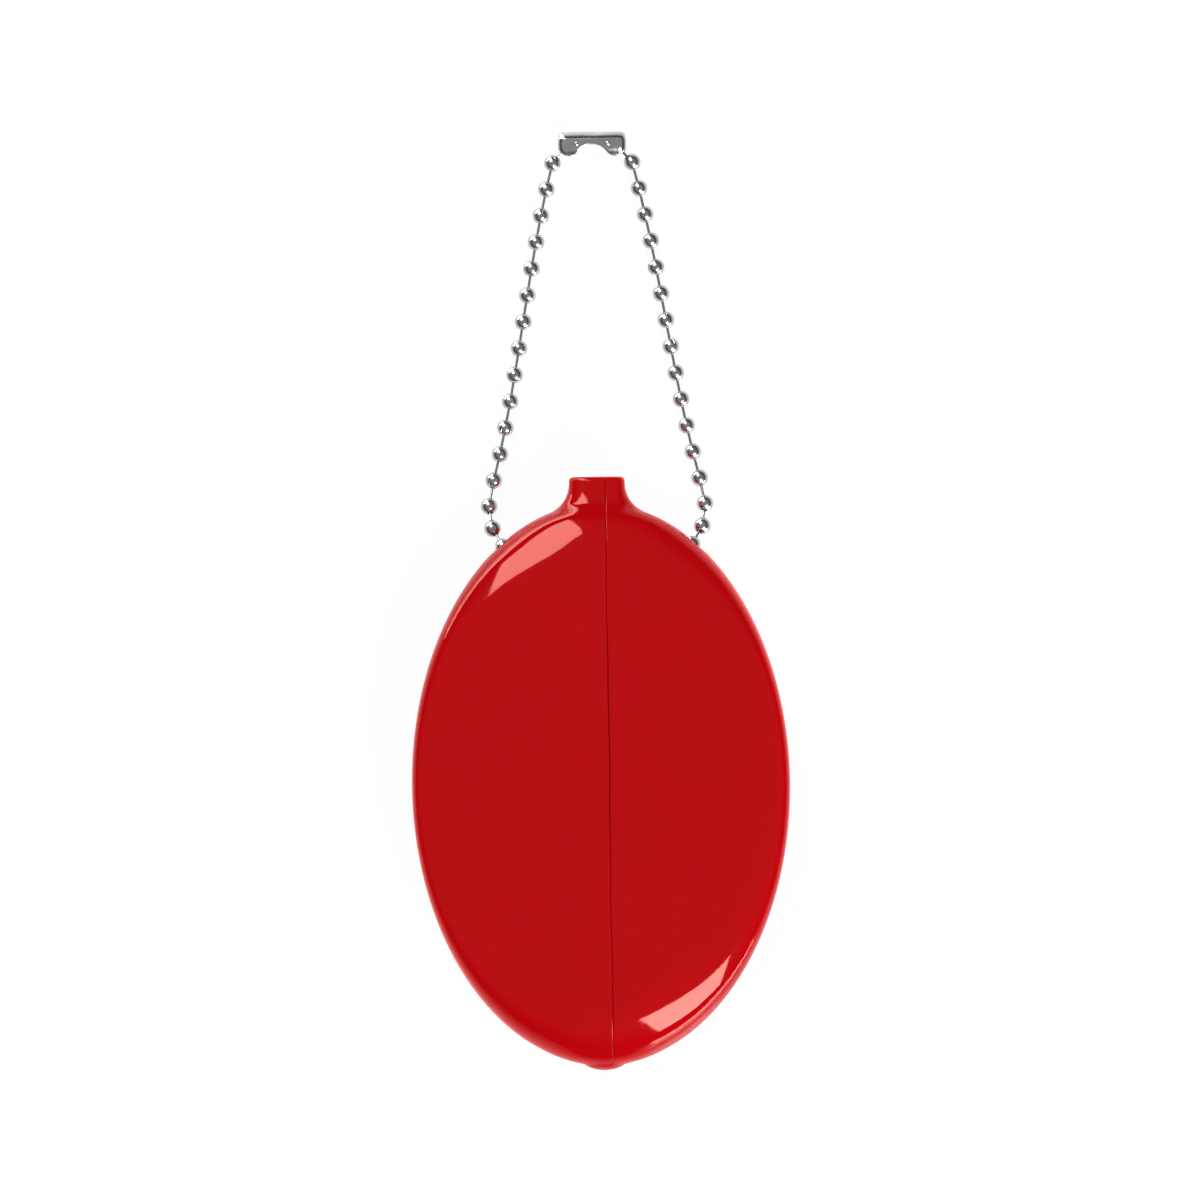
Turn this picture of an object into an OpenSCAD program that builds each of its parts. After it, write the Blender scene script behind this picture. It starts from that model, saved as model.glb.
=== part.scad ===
// Squeeze coin purse: an oval pouch of dip-moulded vinyl with a slit along its
// front, and a loop of ball chain through its shoulders, closed by a connector.
// The purse lies on its back: +Z is the slit side, +Y points to the neck and
// +X to the right. The origin is the middle of the flat on the back.

/* [Pouch] */
// Width of the oval
body_w = 53.4; // [49:0.2:58]
// Length of the oval, without the neck and the drip point
body_len = 79.3; // [74:0.2:86]
// Thickness at the middle
body_t = 13; // [11.6:0.2:15]
// Thickness of the vinyl
wall = 1.6; // [1.3:0.05:1.9]
// Height of the gentle dome of each face
crown = 0.9; // [0.5:0.05:1.4]
// How far the rounding of the rim reaches into each face
rim_reach = 9; // [7:0.2:11]
// How deep the flat on the back cuts into its dome
rest_depth = 0.12; // [0.06:0.01:0.2]

/* [Neck and drip point] */
// Width of the neck
neck_w = 7.9; // [7:0.1:9.2]
// Thickness of the neck
neck_t = 6.4; // [5.6:0.1:7.6]
// Height of the neck's cut end above the middle of the oval
neck_top = 43.4; // [42.6:0.1:45]
// Radius of the fillet between shoulder and neck
neck_fillet = 4.5; // [3.5:0.1:5.5]
// Rounding of the neck's cut edge
neck_edge = 0.4; // [0.2:0.05:0.5]
// Width of the drip point
drip_w = 6.4; // [5:0.2:8]
// Thickness of the drip point
drip_t = 4.4; // [3.6:0.2:5.4]
// How far the drip point stands out below the oval
drip_len = 0.8; // [0.5:0.05:1.2]

/* [Slit and lips] */
// Place of the slit, to the right of the middle
slit_x = 1.2; // [0:0.1:2]
// Opening of the slit at rest
slit_gap = 0.2; // [0.12:0.02:0.3]
// Half the length of the part of the front that opens
lip_half = 20; // [17:0.5:22]
// Distance from the middle to the line where a lip bends at the back
bend_x = 20; // [18.5:0.25:21]
// Width of the bend line
bend_gap = 0.4; // [0.36:0.02:0.6]
// Gap between the ends of a lip and the end caps
cap_gap = 0.3; // [0.2:0.05:0.4]

/* [Chain holes] */
// Height of the punched holes above the middle of the oval
hole_y = 33.7; // [32.5:0.1:34.5]
// Diameter of the punched holes
hole_d = 3; // [2.8:0.1:3.4]

/* [Ball chain] */
// Diameter of a bead
bead_d = 2.4; // [2.2:0.05:2.5]
// Sheet thickness of a bead
bead_wall = 0.25; // [0.2:0.01:0.28]
// Diameter of the holes in a bead
bead_hole_d = 0.7; // [0.6:0.02:0.76]
// Distance between the centres of neighbouring beads
pitch = 3.81; // [3.7:0.01:3.95]
// Diameter of a link's wire
wire_d = 0.4; // [0.3:0.02:0.44]
// Diameter of the heads of a link
head_d = 0.88; // [0.84:0.01:0.94]
// Distance from a bead's centre to the centre of a link's head inside it
head_seat = 0.55; // [0.5:0.01:0.56]

/* [Connector] */
// Thickness of the connector's sheet
sheet = 0.3; // [0.24:0.02:0.36]
// Clearance around the beads in the connector
bead_play = 0.05; // [0.03:0.01:0.08]
// Room between a bead and the connector's end
end_play = 0.25; // [0.15:0.05:0.4]
// Height of the connector from its lower edge to its back
conn_h = 3.4; // [3.2:0.05:3.8]
// Radius of the arch cut into its lower edge
arch_r = 2.5; // [2.2:0.05:2.8]
// Height of the arch above the lower edge
arch_h = 1.68; // [1.4:0.02:1.8]
// Radius of the feet on both sides of the arch
foot_r = 1.8; // [1.5:0.05:2]
// Rounding of the connector's upper corners
corner_r = 0.6; // [0.4:0.05:0.9]
// Width of the slots that the links leave through
conn_slot = 0.7; // [0.6:0.05:0.9]
// Diameter of the pressed dimples
dimple_d = 0.9; // [0.6:0.05:1.1]
// Distance of the dimples from the connector's middle
dimple_x = 2.2; // [1.8:0.1:2.8]

/* [Hidden] */
$fn = 48;

ROWS = 16;           // beads on each side between the connector and a hole
INNER_BEADS = 6;     // beads inside the pouch
eps = 0.01;

half_w = body_w / 2;
half_len = body_len / 2;
half_t = body_t / 2;
mid_z = half_t - rest_depth;
bead_r = bead_d / 2;
wire_r = wire_d / 2;
head_r = head_d / 2;

END_POWER = 2;       // squareness of the rim's section at the neck and the drip point
SIDE_POWER = 8;      // squareness of the rim's section at the sides
SIDE_SPREAD = 4;     // how closely the square section keeps to the sides
NECK_POWER = 2.6;    // roundness of the neck's section
DRIP_POWER = 4;      // how sharply the drip point leaves the oval
BLEND_POWER = 3;     // how sharply the neck and the drip point leave each face
NECK_BLEND_Y = 10;   // the neck's roundness begins this far below the oval's top
NECK_BLEND = 8;      // and is complete after this length
DRIP_REACH = 5;      // lengths of the drip point over which its roundness runs out

// The bend lines and the slit keep inside these shares of the half width.
BEND_SHARE = 0.87;
BEND_END_SHARE = 0.885;
SLIT_SHARE = 0.3;
SLIT_GAP_SHARE = 0.06;

// The chain's headings, from +Y towards the side, and the shares of its fall, for
// the three links nearest to the hole, beginning with the one at the hole.
HOLE_HEADINGS = [30, 8, -11];
HOLE_DROPS = [0.45, 0.4, 0.15];
// The strands lean in by this angle at their middle, and by more at their ends.
STRAND_HEADING = -9.6;
STRAND_LEAN = -4.2;
STRAND_MIDDLE = 6.5;
STRAND_REACH = 5.5;
// The last link turns in to the connector.
CONNECTOR_HEADING = -42;

function number(k) = str(k < 10 ? "0" : "", k);

// The pouch's outline, seen from the front. Every function takes the inset t:
// 0 for the outer skin and the wall's thickness for the inner one.

function oval(y, t) =
    let (s = y / (half_len - t))
    abs(s) >= 1 ? 0 : (half_w - t) * sqrt(1 - s * s);
function oval_slope(y, t) =
    let (a = half_w - t, b = half_len - t)
    -(a / b) * (y / b) / sqrt(max(1 - y * y / (b * b), 1e-9));

// The height where the neck's fillet meets the oval, by halving.
function fillet_miss(y, t) =
    let (s = oval_slope(y, t), r = neck_fillet + t)
    oval(y, t) + r / sqrt(1 + s * s) - (neck_w / 2 - t + r);
function fillet_foot(t, lo, hi, n = 24) =
    let (mid = (lo + hi) / 2)
    n == 0 ? mid : fillet_miss(mid, t) > 0 ? fillet_foot(t, mid, hi, n - 1) : fillet_foot(t, lo, mid, n - 1);
function fillet_top(foot, t) =
    let (s = oval_slope(foot, t))
    foot - (neck_fillet + t) * s / sqrt(1 + s * s);

outer_foot = fillet_foot(0, half_len / 2, half_len);
inner_foot = fillet_foot(wall, half_len / 2, half_len - wall);
outer_fillet_top = fillet_top(outer_foot, 0);
inner_fillet_top = fillet_top(inner_foot, wall);

function drip_rise(y) =
    let (s = (-y - (half_len - drip_len)) / (2 * drip_len))
    s <= 0 ? 1 : s >= 1 ? 0 : sqrt(1 - s * s);
function near_drip(y) = y < -(half_len - DRIP_REACH * drip_len);
function edge_inset(y, t) =
    let (s = (y - (neck_top - neck_edge)) / neck_edge)
    t > 0 || s <= 0 ? 0 : neck_edge * (1 - sqrt(max(1 - s * s, 0)));

function half_width(y, t) =
    let (foot = t > 0 ? inner_foot : outer_foot,
         top = t > 0 ? inner_fillet_top : outer_fillet_top,
         r = neck_fillet + t,
         neck = neck_w / 2 - t)
    y > top ? neck - edge_inset(y, t)
    : y > foot ? neck + r - sqrt(max(r * r - pow(top - y, 2), 0)) - edge_inset(y, t)
    : near_drip(y) && t == 0
        ? pow(pow(oval(y, t), DRIP_POWER) + pow(drip_w / 2 * drip_rise(y), DRIP_POWER), 1 / DRIP_POWER)
    : oval(y, t);

// The thickness of the pouch on one side of its middle plane, at the share f of
// the half width, from -1 to 1.

function rim(d, reach, n) = d >= reach ? 1 : pow(1 - pow(1 - max(d, 0) / reach, n), 1 / n);
function oval_rise(f, y, t) =
    let (a = half_w - t,
         b = half_len - t,
         u = pow(oval(y, t) / a, 2),
         rho = sqrt(max(f * f * u + 1 - u, 1e-9)),
         cx = abs(f) * sqrt(u) / rho,
         sx = sqrt(max(1 - cx * cx, 0)),
         deep = (1 - rho) * a * b / sqrt(a * a * sx * sx + b * b * cx * cx),
         n = END_POWER + (SIDE_POWER - END_POWER) * pow(cx, SIDE_SPREAD))
    (half_t - t - crown) * rim(deep, rim_reach - t, n) + crown * (1 - rho * rho);
function neck_rise(f, y, t) =
    let (s = min(max((y - half_len + NECK_BLEND_Y) / NECK_BLEND, 0), 1))
    s * (neck_t / 2 - t - edge_inset(y, t)) * pow(max(1 - pow(abs(f), NECK_POWER), 0), 1 / NECK_POWER);
function drip_bulge(f, y, t) =
    t > 0 || !near_drip(y) ? 0 : drip_t / 2 * drip_rise(y) * sqrt(max(1 - f * f, 0));
function rise(f, y, t) =
    let (p = BLEND_POWER)
    pow(pow(oval_rise(f, y, t), p) + pow(neck_rise(f, y, t), p) + pow(drip_bulge(f, y, t), p), 1 / p);

function skin_z(side, f, y, t) =
    let (z = mid_z + side * rise(f, y, t))
    side < 0 ? max(z, t) : z;

// The grid that both skins share. Each row lies at one height y, and each column
// is a place around the section: [side, share of the half width].

LIP_ROWS = 10;       // rows along the lips
TOP_ROWS = 9;        // rows from the lips to the neck's fillet
NECK_ROWS = 4;       // rows along the fillet and the neck
END_ROWS = 10;       // rows from the drip point to the lips
BACK_STEPS = 3;      // columns from the middle of the back to a bend line
SIDE_STEPS = 6;      // columns from a bend line round to the outline
FRONT_STEPS = 10;    // columns from the outline to the slit

tip_y = -(half_len + drip_len);
cap_y = lip_half + cap_gap;
rows_y = concat(
    [for (k = [0 : END_ROWS - 1]) tip_y + eps + (-cap_y - tip_y - eps) * (1 - cos(90 * k / END_ROWS))],
    [-cap_y],
    [for (k = [0 : LIP_ROWS]) -lip_half + 2 * lip_half * k / LIP_ROWS],
    [cap_y],
    [for (k = [1 : TOP_ROWS]) cap_y + (outer_foot - cap_y) * sin(90 * k / TOP_ROWS)],
    [for (k = [1 : NECK_ROWS]) outer_foot + (neck_top - neck_edge - outer_foot) * k / NECK_ROWS],
    [neck_top - neck_edge * 0.35, neck_top]);
ROW_COUNT = len(rows_y);
LIP_FIRST = END_ROWS + 1;
LIP_LAST = LIP_FIRST + LIP_ROWS;
SLIT_FIRST = 2;      // the slit ends two rows above the drip point's tip

function bend_share(w) = min(bend_x / w, BEND_SHARE);
function bend_end_share(w) = min((bend_x + bend_gap) / w, BEND_END_SHARE);
function slit_share(w, edge) =
    min(slit_x / w, SLIT_SHARE) + edge * min(slit_gap / 2 / w, SLIT_GAP_SHARE);

// Shares of the half width of one section, once round it from the middle of the
// back to the right, over the front to the left and back again.
function section_shares(w) =
    let (b0 = bend_share(w), b1 = bend_end_share(w), a1 = asin(b1),
         sr = slit_share(w, 1), sl = slit_share(w, -1), ar = asin(sr), al = asin(sl))
    concat(
        [for (k = [0 : BACK_STEPS]) [-1, b0 * k / BACK_STEPS]],
        [for (k = [0 : SIDE_STEPS]) [-1, sin(a1 + (90 - a1) * k / SIDE_STEPS)]],
        [for (k = [1 : FRONT_STEPS]) [1, sin(90 + (ar - 90) * k / FRONT_STEPS)]],
        [for (k = [0 : FRONT_STEPS]) [1, sin(al + (-90 - al) * k / FRONT_STEPS)]],
        [for (k = [1 : SIDE_STEPS]) [-1, -sin(90 + (a1 - 90) * k / SIDE_STEPS)]],
        [for (k = [0 : BACK_STEPS - 1]) [-1, -b0 * (1 - k / BACK_STEPS)]]);

RIGHT_BEND = BACK_STEPS;
SLIT_COLUMN = BACK_STEPS + 1 + SIDE_STEPS + FRONT_STEPS;
LEFT_BEND = SLIT_COLUMN + 1 + FRONT_STEPS + SIDE_STEPS;
COLUMN_COUNT = LEFT_BEND + 1 + BACK_STEPS;

// Below the lips the inner skin's rows close up, so that it ends a wall short.
function skin_y(y, t) =
    y >= -cap_y ? y : -cap_y + (y + cap_y) * (half_len - t - cap_y) / (-tip_y - cap_y);
function skin_row(y, t) =
    let (yt = t > 0 ? skin_y(y, t) : y, w = max(half_width(yt, t), 0.05))
    [for (c = section_shares(max(half_width(y, 0), 0.05)))
        [c[1] * w, yt, skin_z(c[0], c[1], yt, t)]];

outer_skin = [for (y = rows_y) each skin_row(y, 0)];
inner_skin = [for (y = rows_y) each skin_row(y, wall)];
SKIN_POINTS = len(outer_skin);

function around(c) = (c + COLUMN_COUNT) % COLUMN_COUNT;
function at(r, c) = r * COLUMN_COUNT + around(c);

function in_lip_rows(r) = r >= LIP_FIRST && r < LIP_LAST;
function in_back(c) = c < RIGHT_BEND || c > LEFT_BEND;
function in_left_lip(r, c) = in_lip_rows(r) && c > SLIT_COLUMN && c < LEFT_BEND;
function in_right_lip(r, c) = in_lip_rows(r) && c > RIGHT_BEND && c < SLIT_COLUMN;
function in_shell(r, c) =
    r < 0 || r >= ROW_COUNT - 1 ? false
    : c == SLIT_COLUMN && r >= SLIT_FIRST ? false
    : r >= LIP_FIRST - 1 && r <= LIP_LAST ? in_back(c)
    : true;
function is_in(part, r, c) =
    part == "left" ? in_left_lip(r, around(c))
    : part == "right" ? in_right_lip(r, around(c))
    : in_shell(r, around(c));

function pair(a, b, c, d) = [[a, b, c], [a, c, d]];
function cell_faces(part, r, c) =
    let (a = at(r, c), b = at(r, c + 1), d = at(r + 1, c), e = at(r + 1, c + 1), n = SKIN_POINTS)
    concat(
        pair(a, d, e, b),
        pair(a + n, b + n, e + n, d + n),
        is_in(part, r - 1, c) || (r == 0 && part == "back") ? [] : pair(a, b, b + n, a + n),
        is_in(part, r + 1, c) ? [] : pair(e, d, d + n, e + n),
        is_in(part, r, c - 1) ? [] : pair(d, a, a + n, d + n),
        is_in(part, r, c + 1) ? [] : pair(b, e, e + n, b + n));
function end_faces() = [
    [for (c = [0 : COLUMN_COUNT - 1]) at(0, c)],
    [for (c = [COLUMN_COUNT - 1 : -1 : 0]) at(0, c) + SKIN_POINTS]];

module skin_part(part) {
    cells = [for (r = [0 : ROW_COUNT - 2]) for (c = [0 : COLUMN_COUNT - 1])
        if (is_in(part, r, c)) each cell_faces(part, r, c)];
    polyhedron(
        points = concat(outer_skin, inner_skin),
        faces = part == "back" ? concat(cells, end_faces()) : cells,
        convexity = 8);
}

module back_shell() {
    color([0.72, 0.03, 0.06])
    difference() {
        skin_part("back");
        translate([-half_w, hole_y, mid_z])
            rotate([0, 90, 0])
            cylinder(h = body_w, d = hole_d);
    }
}
module left_lip() {
    color([0.75, 0.03, 0.07]) skin_part("left");
}
module right_lip() {
    color([0.69, 0.03, 0.06]) skin_part("right");
}

// The chain's route on the right side, from the hole to the connector. Each link
// has a heading and the height that it comes down.

conn_half_z = bead_r + bead_play + sheet;
fall = mid_z - bead_r;
first_x = (INNER_BEADS + 1) / 2 * pitch;
function near_hole(k) = k >= ROWS - len(HOLE_HEADINGS);
function heading(k) =
    near_hole(k) ? HOLE_HEADINGS[ROWS - 1 - k]
    : k == 0 ? CONNECTOR_HEADING
    : STRAND_HEADING + STRAND_LEAN * pow((k - STRAND_MIDDLE) / STRAND_REACH, 2);
function drop(k) =
    near_hole(k) ? HOLE_DROPS[ROWS - 1 - k] * fall
    : k == 0 ? bead_r - conn_half_z
    : 0;
function link_step(k) =
    let (flat = sqrt(pitch * pitch - pow(drop(k), 2)))
    [flat * sin(heading(k)), flat * cos(heading(k)), -drop(k)];
function bead_at(k) = k == ROWS ? [first_x, hole_y, mid_z] : bead_at(k + 1) + link_step(k);

module aim(d) {
    rotate([0, acos(d[2] / norm(d)), atan2(d[1], d[0])]) children();
}

module on_side(side) {
    if (side < 0) mirror([1, 0, 0]) children();
    else children();
}

// A bead is pressed round from sheet. Its two holes face the links on both sides,
// and it is turned so that the start of its round faces lies across the chain.
module bead(first, second) {
    color([0.78, 0.79, 0.8])
    difference() {
        rotate([0, 0, atan2(first[1], first[0]) - 90])
            difference() {
                sphere(d = bead_d);
                sphere(d = bead_d - 2 * bead_wall);
            }
        for (d = [first, second]) aim(d) cylinder(h = bead_d, d = bead_hole_d);
    }
}

// A link is a wire with a round head in each of the two beads that it joins.
module link(from, to) {
    d = to - from;
    length = norm(d);
    color([0.7, 0.71, 0.73])
    translate(from)
    aim(d) {
        translate([0, 0, head_seat]) cylinder(h = length - 2 * head_seat, r = wire_r);
        translate([0, 0, head_seat]) sphere(r = head_r);
        translate([0, 0, length - head_seat]) sphere(r = head_r);
    }
}

module side_bead(side, k) {
    onward = k == 0 ? link_step(0) : link_step(k - 1);
    back = k == ROWS ? [-1, 0, 0] : -link_step(k);
    on_side(side) translate(bead_at(k)) bead(onward, back);
}

module link_pair(k) {
    for (side = [-1, 1]) on_side(side) link(bead_at(k + 1), bead_at(k));
}

function inner_x(k) = (k - (INNER_BEADS - 1) / 2) * pitch;
module inner_beads() {
    for (k = [0 : INNER_BEADS - 1])
        translate([inner_x(k), hole_y, mid_z]) bead([1, 0, 0], [-1, 0, 0]);
}
module inner_links() {
    for (k = [-1 : INNER_BEADS - 1])
        link([inner_x(k), hole_y, mid_z], [inner_x(k + 1), hole_y, mid_z]);
}

// The connector is a channel bent from sheet, open towards the pouch. Its back
// is rounded, and its two sides end in round feet with an arch between them.

conn_bead = bead_at(0);
conn_end_x = conn_bead[0] + bead_r + end_play + sheet;
conn_top_y = conn_bead[1] + bead_r + bead_play + sheet;
conn_low_y = conn_top_y - conn_h;
arch_y = conn_low_y + arch_h - arch_r;
foot_y = conn_low_y + foot_r;
foot_x = sqrt(pow(arch_r + foot_r, 2) - pow(foot_y - arch_y, 2));
join_y = foot_y + (arch_y - foot_y) * foot_r / (arch_r + foot_r);

// The arch and the round feet run into each other at the height join_y.
module conn_side_profile() {
    difference() {
        union() {
            translate([-conn_end_x, join_y])
                square([2 * conn_end_x, conn_top_y - corner_r - join_y]);
            translate([corner_r - conn_end_x, join_y])
                square([2 * (conn_end_x - corner_r), conn_top_y - join_y]);
            for (s = [-1, 1])
                translate([s * (conn_end_x - corner_r), conn_top_y - corner_r]) circle(r = corner_r);
        }
        translate([0, arch_y]) circle(r = arch_r);
    }
    for (s = [-1, 1])
        intersection() {
            translate([s * foot_x, foot_y]) circle(r = foot_r);
            translate([-conn_end_x, conn_low_y - 1]) square([2 * conn_end_x, join_y + eps - conn_low_y + 1]);
        }
}

BACK_ROUND = 0.55;   // rounding of the back, as a share of half the thickness
DIMPLE_DEPTH = 0.4;  // depth of a dimple, as a share of the sheet

module conn_block(inset) {
    x = conn_end_x - inset;
    r = conn_half_z * BACK_ROUND - inset;
    y = conn_top_y - inset;
    z = conn_half_z - inset;
    rotate([90, 0, 90])
    translate([0, 0, -x])
    linear_extrude(height = 2 * x)
    union() {
        translate([conn_low_y - 1, -z]) square([y - r - conn_low_y + 1, 2 * z]);
        translate([conn_low_y - 1, -(z - r)]) square([y - conn_low_y + 1, 2 * (z - r)]);
        for (s = [-1, 1]) translate([y - r, s * (z - r)]) circle(r = r);
    }
}

module connector() {
    color([0.72, 0.73, 0.75])
    translate([0, 0, conn_half_z])
    difference() {
        intersection() {
            conn_block(0);
            translate([0, 0, -conn_half_z]) linear_extrude(height = 2 * conn_half_z) conn_side_profile();
        }
        conn_block(sheet);
        for (s = [-1, 1]) {
            translate([s * (conn_end_x - sheet / 2), conn_low_y, 0])
                cube([3 * sheet, 2 * (conn_bead[1] - conn_low_y), conn_slot], center = true);
            for (face = [-1, 1])
                translate([s * dimple_x, arch_y + arch_r, face * (conn_half_z + dimple_d / 2 - sheet * DIMPLE_DEPTH)])
                    sphere(d = dimple_d);
        }
    }
}

back_shell();
left_lip();
right_lip();
connector();
side_bead(-1, 0);  // left_connector_bead
side_bead(1, 0);  // right_connector_bead
inner_beads();
inner_links();
for (k = [1 : ROWS]) {
    side_bead(-1, k);
    side_bead(1, k);
}
for (k = [0 : ROWS - 1])
    link_pair(k);
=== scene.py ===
import math

import bmesh
import bpy
import numpy as np
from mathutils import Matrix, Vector


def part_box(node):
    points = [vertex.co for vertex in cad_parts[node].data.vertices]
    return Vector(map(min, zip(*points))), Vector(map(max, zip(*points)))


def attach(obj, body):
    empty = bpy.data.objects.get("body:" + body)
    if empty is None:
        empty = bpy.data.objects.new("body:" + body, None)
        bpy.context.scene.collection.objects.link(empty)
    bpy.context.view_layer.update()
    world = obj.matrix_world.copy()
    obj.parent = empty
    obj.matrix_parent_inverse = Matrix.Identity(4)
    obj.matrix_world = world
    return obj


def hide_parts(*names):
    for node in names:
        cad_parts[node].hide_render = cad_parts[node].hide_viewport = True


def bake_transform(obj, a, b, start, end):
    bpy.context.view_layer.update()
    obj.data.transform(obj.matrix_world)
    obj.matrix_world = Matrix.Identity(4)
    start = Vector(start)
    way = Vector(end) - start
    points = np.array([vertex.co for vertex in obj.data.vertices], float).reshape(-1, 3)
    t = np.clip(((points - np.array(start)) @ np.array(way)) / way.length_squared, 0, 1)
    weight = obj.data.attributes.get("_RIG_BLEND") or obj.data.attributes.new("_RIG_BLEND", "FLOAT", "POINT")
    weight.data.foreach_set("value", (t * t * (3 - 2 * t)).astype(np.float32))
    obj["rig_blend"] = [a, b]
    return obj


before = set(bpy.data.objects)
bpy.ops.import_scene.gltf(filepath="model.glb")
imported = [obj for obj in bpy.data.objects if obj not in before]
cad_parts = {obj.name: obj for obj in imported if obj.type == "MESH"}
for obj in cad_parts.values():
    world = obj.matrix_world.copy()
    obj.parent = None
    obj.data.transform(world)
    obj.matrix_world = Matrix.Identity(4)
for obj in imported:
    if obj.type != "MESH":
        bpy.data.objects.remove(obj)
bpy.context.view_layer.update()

# A squeeze coin purse: a glossy vinyl pouch with a knife slit along its front, and
# a loop of ball chain through its shoulders, closed by a pressed connector.
# Sizes are in millimetres, and MM turns them into metres.

MM = 0.001

# The pouch, as in its solids but for a softer neck and drip point.
HALF_WIDTH = 26.7
HALF_LENGTH = 39.65
HALF_THICKNESS = 6.5
MIDDLE_Z = 6.38
WALL = 1.6
CROWN = 0.9

# The rim's section is round at the ends and squarer along the sides.
RIM_REACH = 9.0
END_POWER = 2.0
SIDE_POWER = 8.0
SIDE_SPREAD = 4.0

# The neck gets thinner up to a little below its rounded cut edge.
NECK_HALF_WIDTH = 3.95
NECK_HALF_THICKNESS = 3.2
NECK_TOP = 43.4
NECK_FILLET = 4.5
NECK_EDGE = 0.6
NECK_POWER = 2.6
NECK_BLEND_DEPTH = 10.0
NECK_BLEND = 8.0
NECK_TAPER = 0.9
NECK_TAPER_START = 37.2
NECK_TAPER_END = NECK_TOP - 1.0

# The drip point, and how far above the oval's end it begins to swell.
DRIP_HALF_WIDTH = 3.2
DRIP_HALF_THICKNESS = 2.2
DRIP_LENGTH = 0.8
DRIP_START = 4.0
DRIP_FADE = 3.2
DRIP_POWER = 3.2

# How sharply the oval, the neck and the drip point melt into one another.
BLEND_POWER = 3.0

# The knife slit. Each wave has its height, its length for one radian and its phase.
SLIT_X = 1.2
SLIT_HALF_GAP = 0.035
SLIT_EDGE = 0.12
SLIT_END = -40.0
SLIT_CLOSING = 1.5
SLIT_SHARE = 0.3
SLIT_WANDER = ((0.05, 6.1, 0.8), (0.03, 2.3, 0.0))
GAP_WAVE = (0.35, 9.0, 1.0)

# The right lip stands a little proud of the left one near both ends of the slit.
PROUD_TOP = 0.08
PROUD_TOP_START = 26.0
PROUD_TOP_FADE = 8.0
PROUD_BOTTOM = 0.05
PROUD_BOTTOM_START = 30.0
PROUD_BOTTOM_FADE = 6.0
PROUD_WIDTH = 1.2

# The punched holes.
HOLE_Y = 33.7
HOLE_RADIUS = 1.5
PUNCH_X = 15.0
PUNCH_LENGTH = 30.0

# How the open mouth bends: its half length and the powers that round it, the height
# over which a side wall bends, and the part of the back that bends with it.
MOUTH_HALF_LENGTH = 37.0
MOUTH_ROUND = 2.2
MOUTH_SHARP = 1.5
WALL_BEND_START = 1.5
WALL_BEND = 9.0
BACK_BEND_START = 15.0
BACK_BEND = 8.0

# The chain. A bead's holes have a pressed lip, and its shell has a fine seam.
BEAD_RADIUS = 1.2
BEAD_WALL = 0.25
BEAD_HOLE_RADIUS = 0.39
BEAD_SEAM = 0.035
SEAM_HALF_ANGLE = 0.045
HOLE_LIP_OUTSIDE = 0.05
HOLE_LIP_INSIDE = 0.03
HOLE_LIP_DEPTH = 0.06
HOLE_LIP_FLARE = 0.012
HOLE_LIP_ROUND = 0.035
WIRE_RADIUS = 0.2
WIRE_ROOT_RADIUS = 0.204
WIRE_ROOT = 0.05
WIRE_START = 0.14
HEAD_RADIUS = 0.44
HEAD_SEAT = 0.55
HEAD_SWEEP = 0.845
BEND_REACH = 0.7
ROWS = 16
INNER_BEADS = 6

# The connector: the roll of its fold, the slope of its feet, its rounded ends, and
# its crown and dents, each dent wave with its turn for a millimetre and its phase.
PRESSING_GRAIN = 0.065
PRESSING_SOFTENING = 8
FOLD_REACH = 0.95
FOLD_SLOPE = 0.6
FOLD_CURVE = 0.03
FOOT_START = 0.3
FOOT_REACH = 1.2
FOOT_CURVE = 0.3
END_REACH = 1.0
END_ROUND = 0.6
END_BULGE = 0.06
CONNECTOR_CROWN = 0.16
DENT_DEPTH = 0.02
DENTS_ACROSS = (1.5, 1.3)
DENTS_ALONG = (1.8, 0.4)

# Colours of the vinyl.
DEEP_RED = (0.412, 0.0, 0.0022)
LIGHT_RED = (0.45, 0.0002, 0.0033)
RED_HIGHLIGHT = (1.0, 0.42, 0.36, 1.0)
RED_SHEEN = (1.0, 0.01, 0.01, 1.0)

# The photograph looks straight down, with the purse turned a little.
FRAME_WIDTH = 169.6
VIEW_CENTRE = (0.225, 25.99)
VIEW_TURN = -0.0141
VIEW_DISTANCE = 2.0
VIEW_PLANE = 6.4

# The studio. The floor is seen as a white glow, and a small share of the lit card under
# it keeps the shadows.
FLOOR_SIZE = 5.0
FLOOR_DROP = 0.03
FLOOR_GLOW = 0.94
FLOOR_WHITE = 1.04
SHADE_GREY = 0.05
CEILING_GREY = 0.24
HORIZON_GREY = 0.5


def clamp01(value):
    return np.clip(value, 0.0, 1.0)


def smooth(value):
    share = clamp01(value)
    return share * share * (3 - 2 * share)


# The pouch's outline, seen from the front, for the skin that lies `inset` inside
# the outer one.

def oval(y, inset):
    share = y / (HALF_LENGTH - inset)
    return (HALF_WIDTH - inset) * np.sqrt(np.clip(1 - share * share, 0, None))


def oval_slope(y, inset):
    across, along = HALF_WIDTH - inset, HALF_LENGTH - inset
    return -(across / along) * (y / along) / math.sqrt(max(1 - y * y / (along * along), 1e-9))


def fillet_ends(inset):
    """The heights where the neck's fillet leaves the oval and meets the neck."""
    radius = NECK_FILLET + inset
    low, high = HALF_LENGTH / 2, HALF_LENGTH - inset
    for _ in range(40):
        foot = (low + high) / 2
        reach = radius / math.sqrt(1 + oval_slope(foot, inset) ** 2)
        if oval(foot, inset) + reach > NECK_HALF_WIDTH - inset + radius:
            low = foot
        else:
            high = foot
    slope = oval_slope(foot, inset)
    return foot, foot - radius * slope / math.sqrt(1 + slope * slope)


FILLETS = {inset: fillet_ends(inset) for inset in (0.0, WALL)}


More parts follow.
